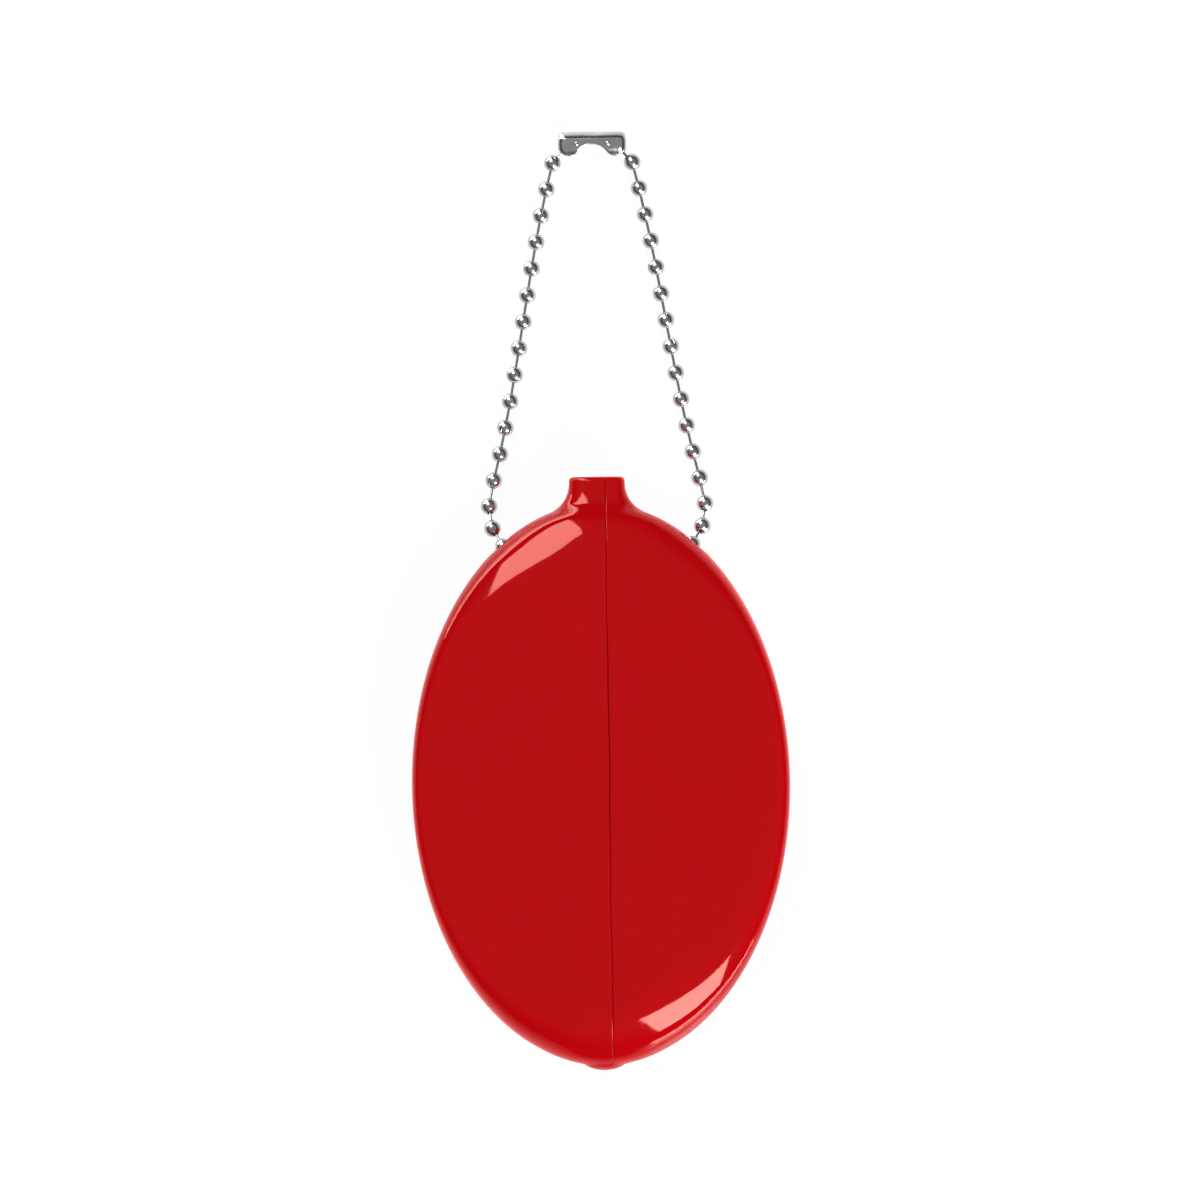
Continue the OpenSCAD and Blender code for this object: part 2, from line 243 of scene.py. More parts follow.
def drip_rise(y):
    """The rounded end of the drip point, as a share of its full width."""
    share = clamp01((-y - (HALF_LENGTH - DRIP_LENGTH)) / (2 * DRIP_LENGTH))
    return np.sqrt(1 - share * share)


def near_drip(y, inset):
    return (y < DRIP_START - HALF_LENGTH) & (inset == 0)


def drip_fade(y):
    return smooth((DRIP_START - HALF_LENGTH - y) / DRIP_FADE)


def edge_inset(y, inset):
    """How far the rounding of the neck's cut edge draws the outer skin in."""
    if inset > 0:
        return 0 * y
    share = clamp01((y - (NECK_TOP - NECK_EDGE)) / NECK_EDGE)
    return NECK_EDGE * (1 - np.sqrt(1 - share * share))


def half_width(y, inset):
    """From the middle to the silhouette: the oval with its drip point, fillet and neck."""
    foot, top = FILLETS[inset]
    radius = NECK_FILLET + inset
    neck = NECK_HALF_WIDTH - inset
    in_fillet = neck + radius - np.sqrt(np.clip(radius ** 2 - (top - y) ** 2, 0, None))
    plain = oval(y, inset)
    drip = DRIP_HALF_WIDTH * drip_rise(y) * drip_fade(y)
    joined = (plain ** DRIP_POWER + drip ** DRIP_POWER) ** (1 / DRIP_POWER)
    width = np.where(near_drip(y, inset), joined, plain)
    width = np.where(y > foot, in_fillet - edge_inset(y, inset), width)
    return np.where(y > top, neck - edge_inset(y, inset), width)


# The pouch's thickness on one side of its middle plane, at the share `f` of the
# half width.

def oval_rise(f, y, inset):
    """The rounded rim and the gentle dome, by how deep a point lies inside the oval."""
    across, along = HALF_WIDTH - inset, HALF_LENGTH - inset
    chord = (oval(y, inset) / across) ** 2
    spread = np.sqrt(np.maximum(f * f * chord + 1 - chord, 1e-9))
    cosine = np.abs(f) * np.sqrt(chord) / spread
    sine = np.sqrt(np.clip(1 - cosine * cosine, 0, None))
    deep = (1 - spread) * across * along
    deep = deep / np.sqrt((across * sine) ** 2 + (along * cosine) ** 2)
    power = END_POWER + (SIDE_POWER - END_POWER) * cosine ** SIDE_SPREAD
    rim = (1 - (1 - clamp01(deep / (RIM_REACH - inset))) ** power) ** (1 / power)
    return (HALF_THICKNESS - inset - CROWN) * rim + CROWN * (1 - spread * spread)


def neck_rise(f, y, inset):
    share = smooth((y - HALF_LENGTH + NECK_BLEND_DEPTH) / NECK_BLEND)
    taper = NECK_TAPER * smooth((y - NECK_TAPER_START) / (NECK_TAPER_END - NECK_TAPER_START))
    height = NECK_HALF_THICKNESS - taper - inset - edge_inset(y, inset)
    return share * height * clamp01(1 - np.abs(f) ** NECK_POWER) ** (1 / NECK_POWER)


def drip_bulge(f, y, inset):
    bulge = DRIP_HALF_THICKNESS * drip_rise(y) * drip_fade(y) * np.sqrt(clamp01(1 - f * f))
    return np.where(near_drip(y, inset), bulge, 0)


def rise(f, y, inset):
    powers = [part(f, y, inset) ** BLEND_POWER for part in (oval_rise, neck_rise, drip_bulge)]
    return sum(powers) ** (1 / BLEND_POWER)


def new_piece(name, points, faces, material, smooth_angle):
    """A mesh object at the origin, from points in millimetres, shaded smooth."""
    mesh = bpy.data.meshes.new(name)
    mesh.from_pydata([tuple(p) for p in np.asarray(points) * MM], [], faces)
    mesh.validate()
    mesh.materials.append(material)
    piece = bpy.data.objects.new(name, mesh)
    bpy.context.scene.collection.objects.link(piece)
    mesh.shade_smooth()
    mesh.set_sharp_from_angle(angle=math.radians(smooth_angle))
    return piece


def weld(mesh, distance, outward=True):
    """Merges doubled points, and turns the faces outwards where that is asked."""
    work = bmesh.new()
    work.from_mesh(mesh)
    bmesh.ops.remove_doubles(work, verts=work.verts, dist=distance)
    if outward:
        bmesh.ops.recalc_face_normals(work, faces=work.faces)
    work.to_mesh(mesh)
    work.free()


def finished_mesh(source):
    """A plain mesh of an object with its modifiers applied."""
    graph = bpy.context.evaluated_depsgraph_get()
    return bpy.data.meshes.new_from_object(source.evaluated_get(graph))


def read_places(mesh):
    """The mesh's points in millimetres, as rows of x, y and z."""
    places = np.zeros(len(mesh.vertices) * 3)
    mesh.vertices.foreach_get("co", places)
    return places.reshape(-1, 3) / MM


# Materials. Value wraps a socket, so that shader maths reads as an expression.

class Value:
    def __init__(self, finish, socket):
        self.finish = finish
        self.socket = socket

    def math(self, operation, first, second):
        return self.finish.node("ShaderNodeMath", {"operation": operation}, {0: first, 1: second})

    def __add__(self, other):
        return self.math("ADD", self, other)

    __radd__ = __add__

    def __sub__(self, other):
        return self.math("SUBTRACT", self, other)

    def __rsub__(self, other):
        return self.math("SUBTRACT", other, self)

    def __mul__(self, other):
        return self.math("MULTIPLY", self, other)

    __rmul__ = __mul__

    def size(self):
        return self.math("ABSOLUTE", self, 0.0)

    def at_most(self, other):
        return self.math("MINIMUM", self, other)


class Finish:
    def __init__(self, owner):
        self.owner = owner
        owner.use_nodes = True
        self.tree = owner.node_tree
        self.tree.nodes.clear()

    @classmethod
    def of_material(cls, name):
        return cls(bpy.data.materials.new(name))

    @classmethod
    def of_world(cls, name):
        return cls(bpy.data.worlds.new(name))

    def node(self, kind, settings=None, values=None, output=0):
        made = self.tree.nodes.new(kind)
        for name, value in (settings or {}).items():
            setattr(made, name, value)
        for name, value in (values or {}).items():
            if isinstance(value, Value):
                self.tree.links.new(value.socket, made.inputs[name])
            else:
                made.inputs[name].default_value = value
        return Value(self, made.outputs[output])

    def place(self):
        return self.node("ShaderNodeTexCoord", output="Object")

    def stretched(self, place, scale):
        return self.node("ShaderNodeMapping", {}, {"Vector": place, "Scale": scale})

    def noise(self, place, size, detail=2.0, roughness=0.5):
        """A cloudy pattern whose features are about `size` millimetres wide."""
        values = {"Vector": place, "Scale": 1 / (size * MM)}
        values.update({"Detail": detail, "Roughness": roughness})
        return self.node("ShaderNodeTexNoise", {}, values)

    def colours(self, share, first, second):
        """A colour between two. Sockets 6 and 7 of a Mix node are its colours, and 2 its result."""
        values = {"Factor": share, 6: (*first, 1), 7: (*second, 1)}
        return self.node("ShaderNodeMix", {"data_type": "RGBA"}, values, output=2)

    def between(self, value, low, high):
        """0 below `low`, 1 above `high` and a smooth step in the middle."""
        values = {"Value": value, "From Min": low, "From Max": high}
        return self.node("ShaderNodeMapRange", {"interpolation_type": "SMOOTHSTEP"}, values)

    def bump(self, height, depth):
        """Relief whose height of 1 stands `depth` millimetres proud."""
        values = {"Height": height, "Distance": depth * MM, "Strength": 1.0}
        return self.node("ShaderNodeBump", {}, values)

    def surface(self, values):
        self.output(self.node("ShaderNodeBsdfPrincipled", {}, values))
        return self.owner

    def output(self, shader, kind="ShaderNodeOutputMaterial"):
        output = self.tree.nodes.new(kind)
        self.tree.links.new(shader.socket, output.inputs["Surface"])


def make_vinyl():
    """Glossy dipped vinyl that lets some light through. It has a faint orange peel, and
    is a little duller where it was handled or scratched."""
    finish = Finish.of_material("dipped_vinyl")
    place = finish.place()
    cloud = finish.noise(place, 14, 3)
    peel = finish.noise(place, 2.6, 2)
    waves = finish.noise(place, 9, 1)
    handling = finish.between(finish.noise(place, 5, 4, 0.6), 0.5, 0.72)
    scratches = finish.noise(finish.stretched(place, (1, 0.06, 1)), 0.35, 3, 0.6)
    marks = finish.between(scratches, 0.66, 0.74) * finish.between(cloud, 0.52, 0.66)
    colour = finish.colours(cloud, DEEP_RED, LIGHT_RED)
    roughness = 0.045 + 0.02 * cloud + 0.022 * handling + 0.12 * marks
    height = 0.5 * waves + 0.16 * peel - 0.02 * marks
    return finish.surface({
        "Base Color": colour,
        "Roughness": roughness,
        "IOR": 1.54,
        "Subsurface Weight": 0.6,
        "Subsurface Radius": (1.0, 0.04, 0.03),
        "Subsurface Scale": 1.8 * MM,
        "Specular Tint": RED_HIGHLIGHT,
        "Sheen Weight": 1.0,
        "Sheen Roughness": 0.5,
        "Sheen Tint": RED_SHEEN,
        "Normal": finish.bump(height, 0.02),
    })


def make_metal(name, dark, light, grain, roughness):
    """Bright nickel plate with rub marks `grain` millimetres wide and a little tarnish."""
    finish = Finish.of_material(name)
    place = finish.place()
    cloud = finish.noise(place, 2.2, 3)
    rubs = finish.noise(finish.stretched(place, (1, 0.25, 1)), grain, 4, 0.65)
    tarnish = finish.between(finish.noise(place, 0.7, 5, 0.7), 0.56, 0.74)
    colour = finish.colours((cloud + 0.35 * tarnish).at_most(1.0), light, dark)
    rough = roughness + 0.05 * cloud + 0.1 * tarnish + 0.05 * finish.between(rubs, 0.55, 0.7)
    height = 0.6 * rubs + 0.4 * cloud
    return finish.surface({
        "Base Color": colour,
        "Metallic": 1.0,
        "Roughness": rough,
        "Normal": finish.bump(height, 0.012),
    })


def make_floor():
    """White card. The part that the lamps light keeps the object's shadow, and the card
    is clear from below, so that the purse's back can be seen through it."""
    finish = Finish.of_material("white_card")
    grain = finish.noise(finish.place(), 40, 3)
    tint = finish.colours(grain, (0.88, 0.88, 0.88), (0.92, 0.92, 0.92))
    matt = finish.node("ShaderNodeBsdfDiffuse", {}, {"Color": tint})
    gloss = finish.node("ShaderNodeBsdfGlossy", {}, {"Color": (1, 1, 1, 1), "Roughness": 0.2})
    glance = finish.node("ShaderNodeFresnel", {}, {"IOR": 1.45})
    card = finish.node("ShaderNodeMixShader", {}, {0: glance, 1: matt, 2: gloss})
    glow = finish.node("ShaderNodeEmission", {}, {"Color": (1, 1, 1, 1), "Strength": FLOOR_WHITE})
    white = finish.node("ShaderNodeMixShader", {}, {0: glance, 1: glow, 2: gloss})
    rays = [finish.node("ShaderNodeLightPath", output=ray)
            for ray in ("Is Camera Ray", "Is Glossy Ray", "Is Transmission Ray")]
    seen = (rays[0] + rays[1] + rays[2]).at_most(1.0)
    front = finish.node("ShaderNodeMixShader", {}, {0: FLOOR_GLOW * seen, 1: card, 2: white})
    clear = finish.node("ShaderNodeBsdfTransparent")
    below = finish.node("ShaderNodeNewGeometry", output="Backfacing")
    finish.output(finish.node("ShaderNodeMixShader", {}, {0: below, 1: front, 2: clear}))
    return finish.owner


vinyl = make_vinyl()

# Each nickel finish has a dull and a bright grey, the grain of its rub marks and a
# roughness.
bead_steel = make_metal("bead_nickel", (0.46, 0.455, 0.45), (0.68, 0.675, 0.67), 0.25, 0.2)
link_steel = make_metal("link_nickel", (0.4, 0.395, 0.39), (0.6, 0.595, 0.59), 0.2, 0.24)
connector_steel = make_metal(
    "connector_nickel", (0.46, 0.455, 0.455), (0.9, 0.895, 0.89), 0.3, 0.15)


# The pouch is two half shells that meet in the middle of the back and at the slit
# in front. Each has an outer and an inner skin on one grid of rows and columns.

BACK_COLUMNS = 60
FRONT_COLUMNS = 60
SLIT_STEPS = (0.62, 0.3, 0.1, 0.0)
LOW_BEND = -22.0
HIGH_BEND = 20.0
LOWER_ROWS = 64
MIDDLE_ROWS = 44
UPPER_ROWS = 44
NECK_ROWS = 34
EDGE_ROWS = 6
MERGE = 0.002 * MM
VINYL_SHARP_ANGLE = 40.0


def quarter_turn(count):
    return np.linspace(0, math.pi / 2, count)


def row_heights():
    """Heights of the grid's rows, closer together where the outline curves most."""
    foot = FILLETS[0.0][0]
    tip = -(HALF_LENGTH + DRIP_LENGTH)
    lower = tip + (LOW_BEND - tip) * (1 - np.cos(quarter_turn(LOWER_ROWS)))
    middle = np.linspace(LOW_BEND, HIGH_BEND, MIDDLE_ROWS)[1:]
    upper = HIGH_BEND + (foot - HIGH_BEND) * np.sin(quarter_turn(UPPER_ROWS))[1:]
    neck = np.linspace(foot, NECK_TOP - NECK_EDGE, NECK_ROWS)[1:]
    edge = NECK_TOP - NECK_EDGE * (1 - np.sin(quarter_turn(EDGE_ROWS)))[1:]
    return np.concatenate([lower, middle, upper, neck, edge])


def inner_height(y):
    """The inner skin ends a wall short of the tip of the drip point."""
    outer_end = HALF_LENGTH + DRIP_LENGTH
    inner_end = HALF_LENGTH - WALL
    squeeze = (inner_end + LOW_BEND) / (outer_end + LOW_BEND)
    return np.where(y >= LOW_BEND, y, LOW_BEND + (y - LOW_BEND) * squeeze)


def wave(y, height, length, phase):
    return height * np.sin(y / length + phase)


def slit_place(y, hand, width):
    """Where the slit's edge lies: a knife cut wanders a little and closes at its end."""
    wander = sum(wave(y, *shape) for shape in SLIT_WANDER)
    gap = SLIT_HALF_GAP * smooth((y - SLIT_END) / SLIT_CLOSING) * (1 + wave(y, *GAP_WAVE))
    return np.minimum(SLIT_X + wander, SLIT_SHARE * width) + hand * gap


def lip_step(x, y, edge):
    """How far the right lip stands proud of the left one beside the slit."""
    top = PROUD_TOP * smooth((y - PROUD_TOP_START) / PROUD_TOP_FADE)
    bottom = PROUD_BOTTOM * smooth((-y - PROUD_BOTTOM_START) / PROUD_BOTTOM_FADE)
    return (top + bottom) * smooth(1 - np.abs(x - edge) / PROUD_WIDTH)


def half_shell_grid(hand, inset):
    """Points of one skin of one half: hand is -1 on the left and 1 on the right."""
    rows = row_heights()
    y = inner_height(rows) if inset > 0 else rows
    width = np.maximum(half_width(y, inset), 0.0)
    edge = slit_place(rows, hand, np.maximum(width, 1e-6))
    rim = hand * width
    rounding = hand * SLIT_EDGE * np.minimum(width, 1)
    columns = []
    for share in np.sin(quarter_turn(BACK_COLUMNS + 1)):
        columns.append((-1, share * rim))
    for angle in quarter_turn(FRONT_COLUMNS + 1)[1:]:
        columns.append((1, rim + (edge + rounding - rim) * (1 - math.cos(angle))))
    for share in SLIT_STEPS:
        columns.append((1, edge + rounding * share))
    grid = []
    for side, x in columns:
        f = np.clip(x / np.maximum(width, 1e-6), -1, 1)
        z = MIDDLE_Z + side * rise(f, y, inset)
        if side < 0:
            z = np.maximum(z, inset)
        if side > 0 and inset == 0:
            close = clamp01(1 - np.abs(x - edge) / SLIT_EDGE)
            z = z - SLIT_EDGE * (1 - np.sqrt(1 - close * close)) * np.minimum(width / 4, 1)
            if hand > 0:
                z = z + lip_step(x, y, edge)
        grid.append(np.stack([x, y, z], axis=-1))
    return np.stack(grid, axis=1)


def half_shell(name, hand):
    """One closed half of the vinyl, with its outer and inner skins and its edges."""
    outer = half_shell_grid(hand, 0.0)
    inner = half_shell_grid(hand, WALL)
    rows, columns = outer.shape[:2]
    count = rows * columns
    points = np.concatenate([outer.reshape(-1, 3), inner.reshape(-1, 3)])
    faces = []

    def at(r, c, skin):
        return skin * count + r * columns + c

    def quad(a, b, c, d):
        faces.append((a, b, c, d) if hand > 0 else (d, c, b, a))

    for r in range(rows - 1):
        for c in range(columns - 1):
            quad(at(r, c, 0), at(r + 1, c, 0), at(r + 1, c + 1, 0), at(r, c + 1, 0))
            quad(at(r, c, 1), at(r, c + 1, 1), at(r + 1, c + 1, 1), at(r + 1, c, 1))
    for r in range(rows - 1):
        quad(at(r, 0, 0), at(r, 0, 1), at(r + 1, 0, 1), at(r + 1, 0, 0))
        last = columns - 1
        quad(at(r, last, 0), at(r + 1, last, 0), at(r + 1, last, 1), at(r, last, 1))
    for c in range(columns - 1):
        top = rows - 1
        quad(at(top, c, 0), at(top, c, 1), at(top, c + 1, 1), at(top, c + 1, 0))
    piece = new_piece(name, points, faces, vinyl, VINYL_SHARP_ANGLE)
    weld(piece.data, MERGE)
    return piece


def punch(piece, hand):
    """Cuts the round chain hole through the shoulder."""
    bpy.ops.mesh.primitive_cylinder_add(
        vertices=64,
        radius=HOLE_RADIUS * MM,
        depth=PUNCH_LENGTH * MM,
        location=(hand * PUNCH_X * MM, HOLE_Y * MM, MIDDLE_Z * MM),
        rotation=(0, math.pi / 2, 0),
    )
    cutter = bpy.context.active_object
    cut = piece.modifiers.new("hole", "BOOLEAN")
    cut.object = cutter
    cut.operation = "DIFFERENCE"
    cut.solver = "EXACT"
    result = finished_mesh(piece)
    piece.modifiers.clear()
    piece.data = result
    bpy.data.objects.remove(cutter)
    result.shade_smooth()
    result.set_sharp_from_angle(angle=math.radians(VINYL_SHARP_ANGLE))


def lip_share(piece):
    """How far each point follows the lip: fully at the middle of the slit, and not
    at all on the back, at the neck and at the drip point, so the mouth opens as an eye."""
    x, y, z = read_places(piece.data).T
    along = clamp01(1 - np.abs(y / MOUTH_HALF_LENGTH) ** MOUTH_ROUND) ** MOUTH_SHARP
    front = smooth((z - WALL_BEND_START) / WALL_BEND)
    outward = smooth((np.abs(x) - BACK_BEND_START) / BACK_BEND)
    return along * np.where(z > MIDDLE_Z, 1.0, outward) * front


for hand, side in ((-1, "left"), (1, "right")):
    half = half_shell("vinyl_half_" + side, hand)
    punch(half, hand)
    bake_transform(half, "pouch", side + "_lip", start=(0, 0, 0), end=(0, 0, 0.012))
    shares = half.data.attributes["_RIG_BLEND"]
    shares.data.foreach_set("value", lip_share(half).astype(np.float32))
    if hand < 0:
        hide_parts("left_lip", "back_shell")
    else:
        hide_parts("right_lip", "back_shell")


# One bead and one link are made, and nodes set them along the chain's route.

STEEL_SHARP_ANGLE = 35.0
BEAD_SIDES = 36
BEAD_STEPS = 24
INSIDE_STEPS = 10
LINK_SIDES = 14
HEAD_STEPS = 8
STRAIGHT_ANGLE = 1e-4


def revolve(name, profile, sides, closed, seam=0.0):
    """A shape of revolution about Z. profile is a list of (radius, height). A seam
    presses one line of the outside in by that depth."""
    angles = [2 * math.pi * k / sides for k in range(sides)]
    if seam > 0:
        angles = [-SEAM_HALF_ANGLE, 0.0, SEAM_HALF_ANGLE] + angles[1:]
    points = []
    for k, angle in enumerate(angles):
        dip = seam if k == 1 else 0.0
        for radius, height in profile:
            size = math.hypot(radius, height)
            keep = 1 - dip / size if size > BEAD_RADIUS - BEAD_WALL / 2 else 1.0
            across = radius * keep
            points.append((across * math.cos(angle), across * math.sin(angle), height * keep))
    steps = len(profile)
    faces = []
    for k in range(len(angles)):
        here, there = k * steps, (k + 1) % len(angles) * steps
        for s in range(steps if closed else steps - 1):
            onward = (s + 1) % steps
            faces.append((here + s, here + onward, there + onward, there + s))
    piece = new_piece(name, points, faces, bead_steel, STEEL_SHARP_ANGLE)
    weld(piece.data, MERGE / 2)
    piece.data.set_sharp_from_angle(angle=math.radians(STEEL_SHARP_ANGLE))
    return piece


def bead_profile():
    """From one hole's rim over the outside to the other's, and back inside."""
    inner = BEAD_RADIUS - BEAD_WALL
    outside = math.asin((BEAD_HOLE_RADIUS + HOLE_LIP_OUTSIDE) / BEAD_RADIUS)
    inside = math.asin((BEAD_HOLE_RADIUS + HOLE_LIP_INSIDE) / inner)
    lip = BEAD_RADIUS * math.cos(outside) - HOLE_LIP_DEPTH
    profile = []
    for k in range(BEAD_STEPS + 1):
        angle = outside + (math.pi - 2 * outside) * k / BEAD_STEPS
        profile.append((BEAD_RADIUS * math.sin(angle), BEAD_RADIUS * math.cos(angle)))
    profile.append((BEAD_HOLE_RADIUS + HOLE_LIP_FLARE, -lip - HOLE_LIP_ROUND))
    profile.append((BEAD_HOLE_RADIUS, -lip))
    for k in range(INSIDE_STEPS + 1):
        angle = math.pi - inside - (math.pi - 2 * inside) * k / INSIDE_STEPS
        profile.append((inner * math.sin(angle), inner * math.cos(angle)))
    profile.append((BEAD_HOLE_RADIUS, lip))
    profile.append((BEAD_HOLE_RADIUS + HOLE_LIP_FLARE, lip + HOLE_LIP_ROUND))
    return profile


def link_profile():
    """A wire with a pressed round head at each end."""
    half = PITCH / 2 - HEAD_SEAT
    upper = []
    for k in range(HEAD_STEPS + 1):
        angle = math.pi * HEAD_SWEEP * k / HEAD_STEPS
        upper.append((HEAD_RADIUS * math.sin(angle), half + HEAD_RADIUS * math.cos(angle)))
    upper.append((WIRE_ROOT_RADIUS, half - HEAD_RADIUS - WIRE_ROOT))
    upper.append((WIRE_RADIUS, half - HEAD_RADIUS - WIRE_START))
    return upper + [(radius, -height) for radius, height in reversed(upper)]


def placing_tree():
    """Sets one template on every point, along the point's own direction."""
    tree = bpy.data.node_groups.new("set_along_chain", "GeometryNodeTree")
    sockets = {}
    kinds = {"Points": "Geometry", "Template": "Object", "Size": "Float", "Finish": "Material"}
    for name, kind in kinds.items():
        kind = "NodeSocket" + kind
        sockets[name] = tree.interface.new_socket(name, in_out="INPUT", socket_type=kind)
    tree.interface.new_socket("Pieces", in_out="OUTPUT", socket_type="NodeSocketGeometry")

    def node(kind, settings=None, values=None):
        made = tree.nodes.new(kind)
        for name, value in (settings or {}).items():
            setattr(made, name, value)
        for name, value in (values or {}).items():
            if isinstance(value, bpy.types.NodeSocket):
                tree.links.new(value, made.inputs[name])
            else:
                made.inputs[name].default_value = value
        return made

    given = node("NodeGroupInput")
    named = "GeometryNodeInputNamedAttribute"
    heading = node(named, {"data_type": "FLOAT_VECTOR"}, {"Name": "heading"}).outputs["Attribute"]
    twist = node(named, {"data_type": "FLOAT"}, {"Name": "twist"}).outputs["Attribute"]
    aim = node("FunctionNodeAlignRotationToVector", {"axis": "Z"}, {"Vector": heading})
    spin = node("FunctionNodeAxisAngleToRotation", {}, {"Axis": (0, 0, 1), "Angle": twist})
    turned = node("FunctionNodeRotateRotation", {"rotation_space": "LOCAL"}, {
        "Rotation": aim.outputs["Rotation"],
        "Rotate By": spin.outputs["Rotation"],
    })
    template = node("GeometryNodeObjectInfo", {}, {"Object": given.outputs["Template"]})
    placed = node("GeometryNodeInstanceOnPoints", {}, {
        "Points": given.outputs["Points"],
        "Instance": template.outputs["Geometry"],
        "Rotation": turned.outputs["Rotation"],
        "Scale": given.outputs["Size"],
    })
    real = node("GeometryNodeRealizeInstances", {}, {"Geometry": placed.outputs["Instances"]})
    finished = node("GeometryNodeSetMaterial", {}, {
        "Geometry": real.outputs["Geometry"],
        "Material": given.outputs["Finish"],
    })
    node("NodeGroupOutput", {}, {"Pieces": finished.outputs["Geometry"]})
    return tree, {name: socket.identifier for name, socket in sockets.items()}


def centre(node):
    low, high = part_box(node)
    return (low + high) / 2 / MM


def route(side):
    """Bead centres from the connector to the bead in the hole, in millimetres."""
    names = [side + "_connector_bead"]
    names += ["%s_bead_%02d" % (side, k) for k in range(1, ROWS + 1)]
    return [centre(name) for name in names]


routes = {side: route(side) for side in ("left", "right")}
PITCH = (routes["left"][8] - routes["left"][7]).length
bead_template = revolve("bead_template", bead_profile(), BEAD_SIDES, True, BEAD_SEAM)
link_template = revolve("link_template", link_profile(), LINK_SIDES, False)
chain_tree, chain_inputs = placing_tree()
luck = np.random.default_rng(17)


def bend_beads(mesh, places, bends):
    """Turns each bead's two holes towards its own two links. A bead stays round, because
    every point turns about the bead's centre."""
    spots = read_places(mesh).reshape(len(places), -1, 3)
    for spot, (point, heading), (onward, back) in zip(spots, places, bends):
        onward, back, heading = onward.normalized(), back.normalized(), heading.normalized()
        half_bend = math.acos(max(-1.0, min(1.0, -onward.dot(back)))) / 2
        if half_bend < STRAIGHT_ANGLE:
            continue
        axis = np.array(heading.cross(onward).normalized())
        arm = spot - np.array(point)
        share = np.clip(arm @ np.array(heading) / (BEND_REACH * BEAD_RADIUS), -1, 1)
        turn = (half_bend * np.sin(share * math.pi / 2))[:, None]
        turned = arm * np.cos(turn) + np.cross(axis, arm) * np.sin(turn)
        turned += axis * (arm @ axis)[:, None] * (1 - np.cos(turn))
        spot[:] = turned + np.array(point)
    mesh.vertices.foreach_set("co", (spots * MM).ravel())
    mesh.update()


def set_pieces(name, places, template, material, body, replaced, bends=None):
    """One mesh of templates at (point, heading) places, riding on one body. Each is
    turned about its heading by chance."""
    mesh = bpy.data.meshes.new(name + "_points")
    mesh.from_pydata([tuple(point * MM) for point, heading in places], [], [])
    heading = mesh.attributes.new("heading", "FLOAT_VECTOR", "POINT")
    heading.data.foreach_set("vector", [v for point, h in places for v in h.normalized()])
    twist = mesh.attributes.new("twist", "FLOAT", "POINT")
    twist.data.foreach_set("value", luck.uniform(0, 2 * math.pi, len(places)).astype(np.float32))
    points = bpy.data.objects.new(name + "_points", mesh)
    bpy.context.scene.collection.objects.link(points)
    setter = points.modifiers.new("set", "NODES")
    setter.node_group = chain_tree
    setter[chain_inputs["Template"]] = template
    setter[chain_inputs["Size"]] = 1.0
    setter[chain_inputs["Finish"]] = material
    result = finished_mesh(points)
    bpy.data.objects.remove(points)
    result.name = name
    if bends is not None:
        bend_beads(result, places, bends)
    for attribute in ("heading", "twist"):
        if attribute in result.attributes:
            result.attributes.remove(result.attributes[attribute])
    piece = bpy.data.objects.new(name, result)
    bpy.context.scene.collection.objects.link(piece)
    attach(piece, body)
    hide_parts(*replaced)


def bead_places(k):
    """A row's two beads: their centres, and the way each one's holes look."""
    places = []
    for side in ("left", "right"):
        path = routes[side]
        if k == 0:
            heading = path[0] - path[1]
        elif k == ROWS:
            inward = Vector((1 if side == "left" else -1, 0, 0))
            heading = (path[ROWS - 1] - path[ROWS]).normalized() - inward
        else:
            heading = (path[k - 1] - path[k]).normalized() + (path[k] - path[k + 1]).normalized()
        places.append((path[k], heading))
    return places


def bead_bends(k):
    """The directions of a bead's two links: towards the connector, and towards the purse."""
    bends = []
    for side, inward in (("left", 1), ("right", -1)):
        path = routes[side]
        onward = path[k - 1] - path[k]
        back = Vector((inward, 0, 0)) if k == ROWS else path[k + 1] - path[k]
        bends.append((onward, back))
    return bends


def link_places(k):
    """A row's two links, halfway to the next beads."""
    places = []
    for path in (routes["left"], routes["right"]):
        places.append(((path[k] + path[k + 1]) / 2, path[k] - path[k + 1]))
    return places


for k in range(1, ROWS):
    row = "row_%02d" % k
    set_pieces(row + "_beads", bead_places(k), bead_template, bead_steel, row,
               ["left_bead_%02d" % k, "right_bead_%02d" % k], bead_bends(k))
    set_pieces(row + "_links", link_places(k), link_template, link_steel, row,
               ["links_%02d" % k])
set_pieces("connector_beads", bead_places(0), bead_template, bead_steel, "connector",
           ["left_connector_bead", "right_connector_bead"])
set_pieces("connector_links", link_places(0), link_template, link_steel, "connector",
           ["links_00"])

across = Vector((1, 0, 0))
hole_beads = [routes["left"][ROWS], routes["right"][ROWS]]
span = hole_beads[1] - hole_beads[0]
inner = [hole_beads[0] + span * (k + 1) / (INNER_BEADS + 1) for k in range(INNER_BEADS)]
stations = [hole_beads[0]] + inner + [hole_beads[1]]
set_pieces("hole_beads", bead_places(ROWS), bead_template, bead_steel, "chain_base",
           ["left_bead_16", "right_bead_16"], bead_bends(ROWS))
set_pieces("inner_chain_beads", [(point, across) for point in inner], bead_template, bead_steel,
           "chain_base", ["inner_beads"])
set_pieces("inner_chain_links", [((a + b) / 2, across) for a, b in zip(stations, stations[1:])],
           link_template, link_steel, "chain_base", ["inner_links"])
for template in (bead_template, link_template):
    bpy.data.objects.remove(template)


